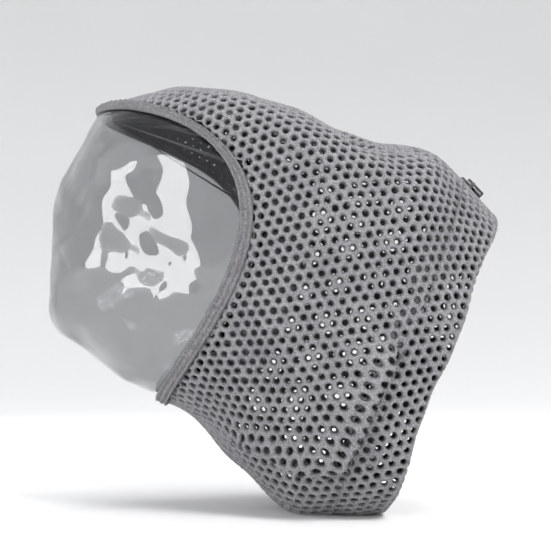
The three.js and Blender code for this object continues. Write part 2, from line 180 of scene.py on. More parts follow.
def waves(points, size, seed, count=7):
    # soft unevenness from a few plane waves, between about -1 and 1
    rng = np.random.default_rng(seed)
    total = np.zeros(points.shape[:-1])
    for _ in range(count):
        direction = rng.normal(size=points.shape[-1])
        direction *= rng.uniform(0.7, 1.4) / (size * np.linalg.norm(direction))
        total += np.sin(2 * math.pi * (points @ direction) + rng.uniform(0, 2 * math.pi))
    return total / math.sqrt(count)


def newPiece(name, points, faces, material, body="hood", replaces=(), slot=None, shade=True, paintedShadeHeight=None):
    mesh = bpy.data.meshes.new(name)
    mesh.from_pydata(np.asarray(points).tolist(), [], [list(f) for f in faces])
    # the height share through the net, stored for the yarn's painted shade
    if paintedShadeHeight is not None:
        mesh.attributes.new("paintedShadeHeight", "FLOAT", "POINT").data.foreach_set("value", paintedShadeHeight)
    mesh.validate()
    if shade:
        mesh.shade_smooth()
    mesh.materials.append(material)
    piece = bpy.data.objects.new(name, mesh)
    bpy.context.scene.collection.objects.link(piece)
    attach(piece, body)
    if replaces:
        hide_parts(*replaces)
    return piece


def ringFaces(rings, count, wrap=True, closeSection=True):
    faces = []
    last = rings if wrap else rings - 1
    across = count if closeSection else count - 1
    for i in range(last):
        a, b = i * count, ((i + 1) % rings) * count
        for k in range(across):
            n = (k + 1) % count
            faces.append((a + k, b + k, b + n, a + n))
    return faces


# finishes
class Nodes:
    def __init__(self, name):
        self.material = bpy.data.materials.new(name)
        self.material.use_nodes = True
        self.tree = self.material.node_tree
        self.shader = self.tree.nodes["Principled BSDF"]
        self.place = self.add("ShaderNodeTexCoord").outputs["Object"]

    def add(self, kind, **values):
        node = self.tree.nodes.new(kind)
        for key, value in values.items():
            if key in node.inputs:
                node.inputs[key].default_value = value
            else:
                setattr(node, key, value)
        return node

    def link(self, start, end):
        self.tree.links.new(start, end)

    def noise(self, scale, detail=3, rough=0.6, stretch=None):
        node = self.add("ShaderNodeTexNoise", Scale=scale, Detail=detail, Roughness=rough)
        if stretch:
            mapping = self.add("ShaderNodeMapping")
            mapping.inputs["Scale"].default_value = stretch
            self.link(self.place, mapping.inputs["Vector"])
            self.link(mapping.outputs["Vector"], node.inputs["Vector"])
        else:
            self.link(self.place, node.inputs["Vector"])
        return node.outputs["Fac"]

    def wave(self, scale, distortion=2, direction="DIAGONAL"):
        node = self.add("ShaderNodeTexWave", Scale=scale, Distortion=distortion, bands_direction=direction)
        self.link(self.place, node.inputs["Vector"])
        return node.outputs["Fac"]

    def ramp(self, factor, stops):
        node = self.add("ShaderNodeValToRGB")
        elements = node.color_ramp.elements
        while len(elements) < len(stops):
            elements.new(0.5)
        for element, (place, colour) in zip(elements, stops):
            element.position = place
            element.color = (*colour, 1)
        self.link(factor, node.inputs["Fac"])
        return node.outputs["Color"]

    def mixed(self, kind, factor, a, b):
        node = self.add("ShaderNodeMix", data_type="RGBA", blend_type=kind)
        for socket, value in ((node.inputs[0], factor), (node.inputs[6], a), (node.inputs[7], b)):
            if isinstance(value, bpy.types.NodeSocket):
                self.link(value, socket)
            else:
                socket.default_value = value
        return node.outputs[2]

    def bump(self, layers):
        last = None
        for height, distance in layers:
            node = self.add("ShaderNodeBump", Strength=1.0, Distance=distance)
            self.link(height, node.inputs["Height"])
            if last:
                self.link(last, node.inputs["Normal"])
            last = node.outputs["Normal"]
        self.link(last, self.shader.inputs["Normal"])

    def finish(self, **values):
        for key, value in values.items():
            socket = self.shader.inputs[key.replace("_", " ")]
            if isinstance(value, bpy.types.NodeSocket):
                self.link(value, socket)
            else:
                socket.default_value = value
        return self.material


def fuzzyYarn(name, dark, light, fibre=1300, deep=None):
    # deep is how dark the yarn is painted at the cloth's back face, as a share of its front: painted shade
    # for the shaded holes and the inside of the net
    n = Nodes(name)
    fleck = n.ramp(n.noise(fibre, 4, 0.8), [(0.36, dark), (0.64, light)])
    patch = n.ramp(n.noise(26, 3, 0.5), [(0.3, (0.84, 0.84, 0.87)), (0.7, (1.0, 1.0, 1.0))])
    n.bump([
        (n.noise(fibre, 5, 0.85), 0.0009),
        (n.wave(430, 12), 0.0004),
    ])
    colour = n.mixed("MULTIPLY", 1.0, fleck, patch)
    if deep:
        # painted shade: the yarn is darkened towards the cloth's back face, by its height through the net
        paintedShadeHeight = n.add("ShaderNodeAttribute", attribute_name="paintedShadeHeight").outputs["Fac"]
        colour = n.mixed("MULTIPLY", 1.0, colour, n.ramp(paintedShadeHeight, [(0.1, (deep,) * 3), (0.92, (1.0, 1.0, 1.0))]))
    return n.finish(Base_Color=colour, Roughness=0.92, Sheen_Weight=0.12, Sheen_Roughness=0.5)


def clearFilm():
    n = Nodes("clear film")
    n.bump([(n.noise(60, 2, 0.5), 0.00008), (n.noise(9, 2, 0.5), 0.0006)])
    haze = n.ramp(n.noise(35, 4, 0.6), [(0.35, (0.015, 0.015, 0.015)), (0.8, (0.07, 0.07, 0.07))])
    return n.finish(Base_Color=(0.60, 0.608, 0.615, 1), Roughness=haze, Transmission_Weight=1.0, IOR=1.45)


def braidedCord():
    n = Nodes("black braided cord")
    tone = n.ramp(n.noise(2500, 3, 0.7), [(0.3, (0.006, 0.006, 0.007)), (0.75, (0.03, 0.03, 0.034))])
    n.bump([(n.noise(2600, 4, 0.7), 0.0001)])
    return n.finish(Base_Color=tone, Roughness=0.72, Sheen_Weight=0.15)


def mouldedPlastic(name, dark, light, rough):
    n = Nodes(name)
    tone = n.ramp(n.noise(160, 3, 0.6), [(0.3, dark), (0.75, light)])
    gloss = n.ramp(n.noise(420, 4, 0.6), [(0.3, (rough,) * 3), (0.8, (rough + 0.16,) * 3)])
    n.bump([(n.noise(2400, 3, 0.6), 0.00003), (n.noise(300, 2, 0.5), 0.00005)])
    return n.finish(Base_Color=tone, Roughness=gloss, Coat_Weight=0.25, Coat_Roughness=0.12)


def springSteel():
    n = Nodes("spring steel")
    tone = n.ramp(n.noise(900, 3, 0.6), [(0.3, (0.42, 0.43, 0.45)), (0.75, (0.62, 0.63, 0.65))])
    n.bump([(n.noise(3000, 2, 0.5, (1, 1, 6)), 0.00002)])
    return n.finish(Base_Color=tone, Roughness=0.28, Metallic=1.0)


# the mesh yarn carries painted shade, dark at the back face of the net
meshYarn = fuzzyYarn("grey mesh yarn", (0.17, 0.17, 0.178), (0.52, 0.52, 0.535), deep=0.07)
hemYarn = fuzzyYarn("pressed hem yarn", (0.11, 0.11, 0.116), (0.38, 0.38, 0.39), 1500)
tapeWeave = fuzzyYarn("seam tape weave", (0.12, 0.12, 0.13), (0.24, 0.24, 0.25), 1900)
greyThread = fuzzyYarn("grey polyester thread", (0.16, 0.16, 0.165), (0.34, 0.34, 0.345), 2600)
film = clearFilm()
cordYarn = braidedCord()
blackPlastic = mouldedPlastic("black moulded plastic", (0.006, 0.006, 0.007), (0.014, 0.014, 0.016), 0.2)
steel = springSteel()
print("finishes made")

# cloth of one side: the outer layer, its turn at the neck edge and the layer turned in
cloth = {
    "start": 0.0079,  # from the visor rim, just behind the hem
    "spare": 0.0066,  # past each border, so that the net can be trimmed to it
    "pastSeam": 0.085,  # the same, past the crown and the chin, in radians
    "seam": 0.00025,  # half the gap between the two sides
    "nose": 0.0046,  # from the neck edge to where the turn starts
    "channel": 0.004,  # free height inside the casing
    "turnedIn": 0.027,  # depth of the layer turned in
}
casing = {"width": 0.032, "mouth": 0.008}
outerRows, turnRows, inRows = 100, 16, 16
columnSteps = 120
step = 4  # rows and columns that go into the flat pattern


def clothGrid():
    middle = hood["layer"] / 2
    seamless = np.linspace(0, math.pi, columnSteps + 1)
    before = np.linspace(-cloth["pastSeam"], 0, step + 1)[:-1]
    angles = np.concatenate([before, seamless, math.pi - before[::-1]])
    positions, normals, fromRim, toNeck = [], [], [], []
    radius = (cloth["channel"] + hood["layer"]) / 2
    for angle in angles:
        total = walkLength(angle)[-1]
        first = np.linspace(cloth["start"] - cloth["spare"], cloth["start"], step + 1)[:-1]
        outer = np.concatenate([first, np.linspace(cloth["start"], total - cloth["nose"], outerRows + 1)])
        backs = backAt(angle, outer)
        up = skinNormal(backs, angle)
        rows = [skinPoint(backs, angle) + up * middle]
        ups = [up]
        # the turn
        at = backAt(angle, [cloth["nose"]], True)
        outward = skinNormal(at, angle)
        onward = unit(skinPoint(at + 0.004, angle) - skinPoint(at - 0.004, angle))
        onward = unit(onward - outward * (onward * outward).sum(-1, keepdims=True))
        centre = skinPoint(at, angle) - outward * cloth["channel"] / 2
        turn = np.linspace(0, math.pi, turnRows + 1)[1:, None]
        facing = onward * np.sin(turn) + outward * np.cos(turn)
        rows.append(centre + facing * radius)
        ups.append(facing)
        # the layer turned in, and a spare strip past it
        spare = np.linspace(0, cloth["spare"], step + 1)[1:] + cloth["turnedIn"]
        inner = np.concatenate([np.linspace(cloth["nose"], cloth["turnedIn"], inRows + 1)[1:], spare])
        backs = backAt(angle, inner, True)
        up = skinNormal(backs, angle)
        rows.append(skinPoint(backs, angle) - up * (cloth["channel"] + middle))
        ups.append(-up)
        positions.append(np.concatenate(rows))
        normals.append(np.concatenate(ups))
        past = np.concatenate([np.zeros(turnRows), -inner])
        fromRim.append(np.concatenate([outer, np.full(len(past), total)]))
        toNeck.append(np.concatenate([total - outer, past]))
    return [np.stack(v, 1) for v in (positions, normals, fromRim, toNeck)]


gridPoints, gridNormals, gridFromRim, gridToNeck = clothGrid()


def flattenCloth(grid):
    # lays the cloth out flat with as little stretch as can be, as a pattern cutter would
    rows, columns = grid.shape[:2]
    index = np.arange(rows * columns).reshape(rows, columns)
    a, b, c, d = index[:-1, :-1], index[1:, :-1], index[1:, 1:], index[:-1, 1:]
    triangles = np.concatenate([np.stack(t, -1).reshape(-1, 3) for t in ((a, b, c), (a, c, d))])
    points = grid.reshape(-1, 3)
    one = points[triangles[:, 1]] - points[triangles[:, 0]]
    two = points[triangles[:, 2]] - points[triangles[:, 0]]
    length = np.maximum(np.linalg.norm(one, axis=1), 1e-7)
    own = np.zeros((len(triangles), 3, 2))
    own[:, 1, 0] = length
    own[:, 2, 0] = (one * two).sum(1) / length
    own[:, 2, 1] = np.maximum(np.linalg.norm(np.cross(one, two), axis=1) / length, 1e-7)
    matrix = np.zeros((len(points), len(points)))
    edges = []
    for k in range(3):
        i, j, o = k, (k + 1) % 3, (k + 2) % 3
        u, v = own[:, i] - own[:, o], own[:, j] - own[:, o]
        weight = (u * v).sum(1) / np.maximum(np.abs(u[:, 0] * v[:, 1] - u[:, 1] * v[:, 0]), 1e-12)
        weight = np.clip(weight, 0.05, 8)
        s, e = triangles[:, i], triangles[:, j]
        np.add.at(matrix, (s, s), weight)
        np.add.at(matrix, (e, e), weight)
        np.add.at(matrix, (s, e), -weight)
        np.add.at(matrix, (e, s), -weight)
        edges.append((s, e, weight, own[:, i] - own[:, j]))
    matrix[0, 0] += 1
    inverse = np.linalg.inv(matrix)
    half = columns // 2
    along = np.concatenate([[0], np.cumsum(np.linalg.norm(np.diff(grid[:, half], axis=0), axis=1))])
    around = np.cumsum(np.linalg.norm(np.diff(grid, axis=1), axis=2), axis=1)
    around = np.concatenate([np.zeros((rows, 1)), around], 1)
    around -= around[:, half : half + 1]
    flat = np.stack([np.repeat(along[:, None], columns, 1), around], -1).reshape(-1, 2)
    for _ in range(120):
        pull = np.zeros((len(triangles), 2, 2))
        for s, e, weight, edge in edges:
            pull += weight[:, None, None] * (flat[s] - flat[e])[:, :, None] * edge[:, None, :]
        turn = np.arctan2(pull[:, 1, 0] - pull[:, 0, 1], pull[:, 0, 0] + pull[:, 1, 1])
        spin = np.stack([np.cos(turn), -np.sin(turn), np.sin(turn), np.cos(turn)], -1).reshape(-1, 2, 2)
        side = np.zeros_like(flat)
        for s, e, weight, edge in edges:
            force = weight[:, None] * np.einsum("tij,tj->ti", spin, edge)
            np.add.at(side, s, force)
            np.add.at(side, e, -force)
        flat = inverse @ side
    return flat.reshape(rows, columns, 2), triangles


flatPattern, flatTriangles = flattenCloth(gridPoints[::step, ::step])
flatSize = np.ptp(flatPattern.reshape(-1, 2), axis=0)
print("cloth laid flat, mm:", np.round(flatSize * 1000))


def mixFour(table, i, j, s, t):
    near = (1 - s) * (1 - t) * table[i, j] + s * (1 - t) * table[i + 1, j]
    return near + (1 - s) * t * table[i, j + 1] + s * t * table[i + 1, j + 1]


class FlatMap:
    # for a point of the flat cloth, which row and column of the grid it belongs to
    def __init__(self, pattern, triangles, cell=0.001):
        flat = pattern.reshape(-1, 2)
        self.low = flat.min(0) - 2 * cell
        self.cell = cell
        size = np.ceil((flat.max(0) - self.low) / cell).astype(int) + 3
        self.rows = np.full(size, np.nan)
        self.columns = np.full(size, np.nan)
        count = pattern.shape[1]
        for tri in triangles:
            corners = (flat[tri] - self.low) / cell
            lo, hi = np.floor(corners.min(0)).astype(int), np.ceil(corners.max(0)).astype(int) + 1
            gx, gy = np.meshgrid(np.arange(lo[0], hi[0]), np.arange(lo[1], hi[1]), indexing="ij")
            (ax, ay), (bx, by), (cx, cy) = corners
            area = (bx - ax) * (cy - ay) - (by - ay) * (cx - ax)
            if abs(area) < 1e-9:
                continue
            v = ((gx - ax) * (cy - ay) - (gy - ay) * (cx - ax)) / area
            w = ((bx - ax) * (gy - ay) - (by - ay) * (gx - ax)) / area
            inside = (v >= -1e-6) & (w >= -1e-6) & (v + w <= 1 + 1e-6)
            row = np.array(tri) // count * step
            column = np.array(tri) % count * step
            u = 1 - v - w
            self.rows[gx[inside], gy[inside]] = (u * row[0] + v * row[1] + w * row[2])[inside]
            self.columns[gx[inside], gy[inside]] = (u * column[0] + v * column[1] + w * column[2])[inside]

    def find(self, flat):
        # the row and column, mixed from the four cells round the point
        spot = (flat - self.low) / self.cell
        spot = np.clip(spot, 0, np.array(self.rows.shape) - 2.001)
        i, j = spot[..., 0].astype(int), spot[..., 1].astype(int)
        s, t = spot[..., 0] - i, spot[..., 1] - j
        return [mixFour(m, i, j, s, t) for m in (self.rows, self.columns)]


def onGrid(table, row, column):
    i = np.clip(row.astype(int), 0, table.shape[0] - 2)
    j = np.clip(column.astype(int), 0, table.shape[1] - 2)
    s, t = row - i, column - j
    if table.ndim == 3:
        s, t = s[..., None], t[..., None]
    return mixFour(table, i, j, s, t)


flatMap = FlatMap(flatPattern, flatTriangles)


def flatAt(back, angle):
    # the flat place of a point of the outer layer
    column = step + angle / math.pi * columnSteps
    distance = np.interp(back, np.linspace(0, 1, 241), walkLength(angle))
    rims = onGrid(gridFromRim, np.arange(step + outerRows + 1.0), np.full(step + outerRows + 1, column))
    row = np.interp(distance, rims, np.arange(step + outerRows + 1.0))
    small = np.array([[row / step]]), np.array([[column / step]])
    return onGrid(flatPattern, *small)[0, 0]


# folds that the soft cloth has taken; over rides up and laps across, under sinks
def fold(line, under, over, sink, lap, wide):
    return {"line": line, "under": under, "over": over, "sink": sink, "lap": lap, "wide": wide}


neckLine = [(0.64, 1.80), (0.62, 2.05), (0.632, 2.30), (0.622, 2.62)]
chinLine = [(0.30, 2.90), (0.335, 2.75), (0.40, 2.68), (0.46, 2.64), (0.53, 2.58), (0.61, 2.53)]
farNeckLine = [(0.66, 1.2), (0.64, 1.6), (0.65, 2.1), (0.66, 2.5)]
nearFolds = [
    fold(neckLine, -1, 0.0050, 0.0100, 0.0050, 0.009),
    fold(chinLine, 1, 0.0045, 0.0080, 0.0040, 0.009),
    fold([(0.36, 1.2), (0.40, 1.45), (0.48, 1.62)], -1, 0.002, 0.0015, 0.0, 0.010),
    fold([(0.42, 0.82), (0.50, 0.60), (0.58, 0.42)], 1, -0.001, 0.0044, 0.0, 0.012),
    fold([(0.80, 0.50), (0.74, 0.90), (0.70, 1.30)], -1, 0.0022, 0.0018, 0.0, 0.013),
    fold([(0.12, 2.1), (0.25, 2.3), (0.38, 2.36)], 1, 0.0018, 0.0018, 0.0, 0.013),
]
farFolds = [
    fold(farNeckLine, -1, 0.0034, 0.003, 0.002, 0.012),
    fold([(0.30, 2.7), (0.42, 2.5), (0.54, 2.45)], 1, 0.0028, 0.0024, 0.0015, 0.012),
    fold([(0.30, 1.0), (0.42, 1.3), (0.5, 1.7)], -1, 0.002, 0.0018, 0.0, 0.016),
    fold([(0.45, 0.45), (0.62, 0.6), (0.75, 0.9)], 1, 0.001, 0.0026, 0.0, 0.015),
]


foldEnd = 0.22  # share of a fold's line over which it dies away


def foldShift(flat, folds):
    # how far each flat point slides and rises because of the folds
    slide = np.zeros_like(flat)
    rise = np.zeros(flat.shape[:-1])
    for crease in folds:
        line = np.array([flatAt(back, angle) for back, angle in crease["line"]])
        dense = np.linspace(0, len(line) - 1, 40)
        line = np.stack([np.interp(dense, range(len(line)), line[:, k]) for k in range(2)], -1)
        nearest = np.full(flat.shape[:-1], 1e9)
        signed = np.zeros(flat.shape[:-1])
        share = np.zeros(flat.shape[:-1])
        normal = np.zeros_like(flat)
        for k in range(len(line) - 1):
            run = line[k + 1] - line[k]
            t = np.clip(((flat - line[k]) @ run) / (run @ run), 0, 1)
            away = flat - (line[k] + t[..., None] * run)
            distance = np.linalg.norm(away, axis=-1)
            left = np.array([-run[1], run[0]]) / np.linalg.norm(run)
            better = distance < nearest
            nearest = np.where(better, distance, nearest)
            signed = np.where(better, np.sign(away @ left) * distance * crease["under"], signed)
            share = np.where(better, (k + t) / (len(line) - 1), share)
            normal = np.where(better[..., None], left * crease["under"], normal)
        fade = smooth(share / foldEnd) * smooth((1 - share) / foldEnd)
        fade = fade * np.exp(-((nearest / (3 * crease["wide"])) ** 4))
        over = signed < 0
        hump = np.exp(-(((signed + crease["wide"] * 0.35) / crease["wide"]) ** 2))
        dip = -np.exp(-signed / (crease["wide"] * 0.4))
        if not crease["lap"]:
            dip = -np.exp(-(((signed - crease["wide"] * 0.8) / crease["wide"]) ** 2))
            both = crease["over"] * hump + crease["sink"] * dip
            rise += fade * both
        else:
            rise += fade * np.where(over, crease["over"] * hump, crease["sink"] * dip)
            reach = np.where(over, np.exp(-((signed / crease["wide"]) ** 2)), 0)
            slide += (fade * reach * crease["lap"])[..., None] * normal
    return slide, rise


# the spacer mesh itself: rounded ribs of yarn round open holes
net = {
    "pitch": 0.0061,
    "hole": 0.00196,  # radius
    "turn": 2,  # degrees between the rows of holes and the neck edge
    "calm": 0.042,  # round the nape, where the lock slides, the cloth lies smooth
    # share of the way from the cell's border to its hole, and height: it narrows towards the back
    "rings": [
        (0.0, 0.00098), (0.40, 0.00130), (0.96, 0.00045),
        (1.46, -0.0008), (0.7, -0.00124), (0.0, -0.00115),
    ],
}
neckRun = flatAt(0.93, 2.0) - flatAt(0.93, 1.3)
netAngle = math.atan2(neckRun[1], neckRun[0]) + math.radians(net["turn"])
stepOne = net["pitch"] * np.array([math.cos(netAngle), math.sin(netAngle)])
stepTwo = net["pitch"] * np.array([math.cos(netAngle + math.pi / 3), math.sin(netAngle + math.pi / 3)])
cellArea = net["pitch"] ** 2 * math.sqrt(3) / 2
nape = skinPoint(np.array([1.0]), 0.0)[0]
cuts = {}  # each piece's flat width and length, and the flat area of its cut
roundCell = np.array([
    (3, 0), (2, 2), (0, 3), (-2, 4), (-3, 3), (-4, 2), (-3, 0), (-2, -2), (0, -3), (2, -4), (3, -3), (4, -2),
])  # the cell's border, in sixths of a step


def netPiece(name, side, wanted, folds, lift=0.0, thin=1.0, phase=(0, 0), mouth=False, hole=None, **more):
    # lift moves the whole layer off the cloth's own place, wanted(fromRim, toNeck, row) picks the cells
    low = flatPattern.reshape(-1, 2).min(0)
    high = flatPattern.reshape(-1, 2).max(0)
    basis = np.stack([stepOne, stepTwo])
    corners = np.array([(low[0], low[1]), (high[0], low[1]), (low[0], high[1]), high]) @ np.linalg.inv(basis)
    reach = np.ceil(np.abs(corners - corners.mean(0)).max(0)).astype(int) + 1
    middle = np.round(corners.mean(0)).astype(int)
    a, b = np.meshgrid(np.arange(-reach[0], reach[0] + 1), np.arange(-reach[1], reach[1] + 1), indexing="ij")
    cells = np.stack([a.ravel(), b.ravel()], -1) + middle
    centres = (cells + np.array(phase)) @ basis
    row, column = flatMap.find(centres)
    lastRow = gridPoints.shape[0] - 1 - step
    lastColumn = gridPoints.shape[1] - 1 - step
    fits = ~np.isnan(row)
    fits &= (row > step - 1.0) & (row < lastRow + 0.8) & (column > step - 1.2) & (column < lastColumn + 1.2)
    cells, centres, row, column = cells[fits], centres[fits], row[fits], column[fits]
    keep = wanted(onGrid(gridFromRim, row, column), onGrid(gridToNeck, row, column), row)
    cells, centres = cells[keep], centres[keep]
    sixths = cells[:, None] * 6 + roundCell
    keys, inverse = np.unique(sixths.reshape(-1, 2), axis=0, return_inverse=True)
    inverse = inverse.reshape(-1, 12)
    border = (keys / 6 + np.array(phase)) @ basis
    border = border + 0.00022 * np.stack([waves(border, 0.004, 5), waves(border, 0.004, 6)], -1)
    spokes = netAngle + np.arange(12) * math.pi / 6
    size = (hole or net["hole"]) * (1 + 0.06 * waves(centres, 0.009, 8))
    centres = centres + 0.0002 * np.stack([waves(centres, 0.011, 3), waves(centres, 0.011, 4)], -1)
    rim = centres[:, None] + size[:, None, None] * np.stack([np.cos(spokes), np.sin(spokes)], -1)
    flats, heights = [border], [np.full(len(border), net["rings"][0][1])]
    for share, height in net["rings"][1:-1]:
        ring = border[inverse] * (1 - share) + rim * share
        flats.append(ring.reshape(-1, 2))
        heights.append(np.full(len(cells) * 12, height))
    flats.append(border)
    heights.append(np.full(len(border), net["rings"][-1][1]))
    flat, height = np.concatenate(flats), np.concatenate(heights) * thin
    height = height + 0.00012 * waves(flat, 0.0035, 9)
    slide, rise = foldShift(flat, folds)
    row, column = flatMap.find(flat + slide)
    lost = np.isnan(row)
    backRow, backColumn = flatMap.find(flat)
    row, column = np.where(lost, backRow, row), np.where(lost, backColumn, column)
    still = np.isnan(row)
    row[still], column[still] = step, step
    row = np.clip(row, step, lastRow)
    column = np.clip(column, step, lastColumn)
    along = onGrid(gridPoints, row, column)
    up = unit(onGrid(gridNormals, row, column))
    outer = smooth((onGrid(gridToNeck, row, column) - 0.004) / 0.012)
    settle = smooth((onGrid(gridFromRim, row, column) - cloth["start"]) / 0.018)
    shared, own = [
        0.0011 * waves(along, 0.062, seed) + 0.0005 * waves(along, 0.027, seed + 1)
        for seed in (51, 21 if side < 0 else 31)
    ]
    soft = shared + (own - shared) * smooth(along[:, 1] / 0.025)  # the two sides agree along their seams
    fromNape = np.linalg.norm(along - nape, axis=1)
    soft *= smooth((fromNape - net["calm"]) / 0.02)
    points = along + up * (height + lift + (rise * outer + soft) * settle)[:, None]
    points[:, 1] = np.maximum(points[:, 1], cloth["seam"])
    if mouth:
        near = points[:, 2] > 0.12
        points[near, 1] = np.maximum(points[near, 1], casing["mouth"])
    points[:, 2] = np.maximum(points[:, 2], 0.0001 + 0.0004 * (height > 0))
    points[:, 1] *= side
    faces = []
    count, borders = len(cells), len(border)
    rings = [inverse]
    for k in range(len(net["rings"]) - 2):
        rings.append(borders + k * count * 12 + np.arange(count * 12).reshape(count, 12))
    rings.append(borders + (len(net["rings"]) - 2) * count * 12 + inverse)
    for first, second in zip(rings, rings[1:]):
        onward = [first, np.roll(first, -1, 1), np.roll(second, -1, 1), second]
        faces.append(np.stack(onward, -1).reshape(-1, 4))
    start, end = inverse, np.roll(inverse, -1, 1)
    pairs = np.stack([start, end], -1).reshape(-1, 2)
    _, first, used = np.unique(np.sort(pairs, 1), axis=0, return_index=True, return_counts=True)
    loose = pairs[first[used == 1]]
    below = borders + (len(net["rings"]) - 2) * count * 12
    faces.append(np.stack([loose[:, 1], loose[:, 0], below + loose[:, 0], below + loose[:, 1]], -1))
    faces = np.concatenate(faces)
    if side < 0:
        faces = faces[:, ::-1]
    flatness = points[faces]
    area = np.linalg.norm(np.cross(flatness[:, 2] - flatness[:, 0], flatness[:, 3] - flatness[:, 1]), axis=1)
    # painted shade: the height share through the net, from back face to top, that darkens the yarn
    paintedShadeHeight = np.clip((height / thin + 0.0012) / 0.0025, 0, 1)
    piece = newPiece(name, points, faces[area > 2e-11], paintedShadeHeight=paintedShadeHeight, **more)
    cuts[name] = (np.ptp(centres, axis=0) + net["pitch"]).tolist(), float(count * cellArea)
    print(name, count, "cells,", len(faces) * 2, "triangles")
    return piece


def inPanel(fromRim, toNeck, row):
    return toNeck > casing["width"] + 0.0005


def inCasing(fromRim, toNeck, row):
    return toNeck <= casing["width"] + 0.0005


knit = {"material": meshYarn, "slot": "spacer_mesh"}
leftPanel = netPiece("left_mesh", -1, inPanel, nearFolds, replaces=["left_mesh_panel"], **knit)
rightPanel = netPiece("right_mesh", 1, inPanel, farFolds, replaces=["right_mesh_panel"], **knit)
leftCasing = netPiece(
    "left_neck_casing", -1, inCasing, nearFolds, mouth=True, replaces=["neck_casing"], **knit)
rightCasing = netPiece("right_neck_casing", 1, inCasing, farFolds, mouth=True, **knit)

# the mesh is turned in behind the visor's edge, so the front of the panels is two layers deep
facing = {"lift": -0.0046, "thin": 0.5, "deep": 0.040, "hole": 0.0015, "phase": (0.5, 0.27)}


def inFacing(fromRim, toNeck, row):
    return fromRim < facing["deep"]


def makeFacings():
    return [
        netPiece(name, side, inFacing, [], lift=facing["lift"], thin=facing["thin"],
                 phase=facing["phase"], hole=facing["hole"], **knit)
        for side, name in ((-1, "left_visor_facing"), (1, "right_visor_facing"))
    ]


facings = makeFacings()

# folded hem round the visor
hem = {
    "thick": 0.0046,
    "rows": [0.0024, 0.00555],  # where its two rows of stitches run
    "pull": 0.0012,  # how far the stitches pull it in
    "stitch": 0.0028,
    "columns": 640,
    "dimple": 0.0009,
}


def hemSection():
    # distance from the rim and height off the skin, round the closed section from the inner rear edge
    nose = [(0.0003 + hem["thick"] / 2 * (1 - math.cos(t)), hem["thick"] / 2 * (1 + math.sin(t)))
            for t in np.linspace(-math.pi / 2, math.pi / 2, 11)]
    nose = [(max(d - 0.0003, 0) * 0.62, h) for d, h in nose]
    top = [(d, hem["thick"]) for d in np.linspace(0.0022, 0.0072, 16)]
    rear = [(0.0076, hem["thick"] * 0.8), (0.0077, hem["thick"] * 0.5), (0.0076, hem["thick"] * 0.15)]
    under = [(d, 0.00005) for d in np.linspace(0.0072, 0.0022, 6)]
    return nose + top + rear + under


def makeHem():
    section = hemSection()
    angles = np.linspace(-math.pi, math.pi, hem["columns"], endpoint=False)
    rim = skinPoint(0, angles)
    run = np.concatenate([[0], np.cumsum(np.linalg.norm(np.diff(rim, axis=0), axis=1))])
    points = []
    distances = np.array([d for d, _ in section])
    heights = np.array([h for _, h in section])
    for angle, along in zip(angles, run):
        height = heights.copy()
        over = heights > hem["thick"] * 0.6
        for row in hem["rows"]:
            close = np.exp(-(((distances - row) / 0.0006) ** 2))
            tuck = 0.75 + 0.25 * math.cos(2 * math.pi * along / hem["stitch"])
            height -= over * close * hem["pull"] * tuck
        # the closed-up holes of the mesh
        pitch = net["pitch"]
        for shift, line in ((0, 0.0004), (0.5, 0.0040), (0, 0.0070)):
            phase = (along / pitch + shift) % 1 - 0.5
            dent = math.exp(-((phase * pitch / 0.0012) ** 2))
            height -= over * hem["dimple"] * dent * np.exp(-(((distances - line) / 0.0010) ** 2))
        back = backAt(angle, distances)
        puff = 0.00018 * math.sin(along * 2300) + 0.0002 * math.sin(along * 410)
        points.append(offSkin(back, angle, height + over * puff))
    points = np.concatenate(points)
    points[:, 2] = np.maximum(points[:, 2], 0.0002)
    faces = ringFaces(hem["columns"], len(section))
    return newPiece("visor_hem_fold", points, faces, hemYarn, replaces=["visor_hem"], slot="spacer_mesh")


hemPiece = makeHem()
print("hem folded")

# thread: short stitches that rise out of the cloth and dive back in
stitching = {"thick": 0.0004, "sides": 6, "parts": 5, "gap": 0.22}


def stitchRow(name, line, normals, length, nodes=(), closed=True):
    # one stitch after another along a line of points
    gaps = np.linalg.norm(np.diff(np.vstack([line, line[:1]]) if closed else line, axis=0), axis=1)
    run = np.concatenate([[0], np.cumsum(gaps)])
    whole = np.vstack([line, line[:1]]) if closed else line
    ups = np.vstack([normals, normals[:1]]) if closed else normals
    count = max(int(round(run[-1] / length)), 1)
    each = run[-1] / count
    points, faces = [], []
    for k in range(count):
        rings = []
        for t in np.linspace(0, 1, stitching["parts"] + 1):
            spot = (k + stitching["gap"] / 2 + t * (1 - stitching["gap"])) * each
            at = np.array([np.interp(spot, run, whole[:, c]) for c in range(3)])
            up = unit(np.array([np.interp(spot, run, ups[:, c]) for c in range(3)]))
            ahead = np.array([np.interp(min(spot + 1e-4, run[-1]), run, whole[:, c]) for c in range(3)])
            behind = np.array([np.interp(spot - 1e-4, run, whole[:, c]) for c in range(3)])
            along = unit(ahead - behind)
            across = unit(np.cross(along, up))
            arch = math.sin(math.pi * t)
            radius = stitching["thick"] * (0.55 + 0.45 * math.sqrt(max(arch, 0.0)))
            at = at + up * (stitching["thick"] * 1.3 * (arch - 0.75))
            rings.append([
                at + radius * (math.cos(a) * across + math.sin(a) * np.cross(across, along))
                for a in np.linspace(0, 2 * math.pi, stitching["sides"], endpoint=False)
            ])
        base = len(points)
        sides = stitching["sides"]
        points.extend(p for ring in rings for p in ring)
        for r in range(stitching["parts"]):
            for s in range(sides):
                n = (s + 1) % sides
                here, there = base + r * sides, base + (r + 1) * sides
                faces.append((here + s, here + n, there + n, there + s))
        faces.append(tuple(base + s for s in reversed(range(sides))))
        faces.append(tuple(base + stitching["parts"] * sides + s for s in range(sides)))
    return newPiece(name, np.array(points), faces, greyThread, replaces=list(nodes), slot="thread")


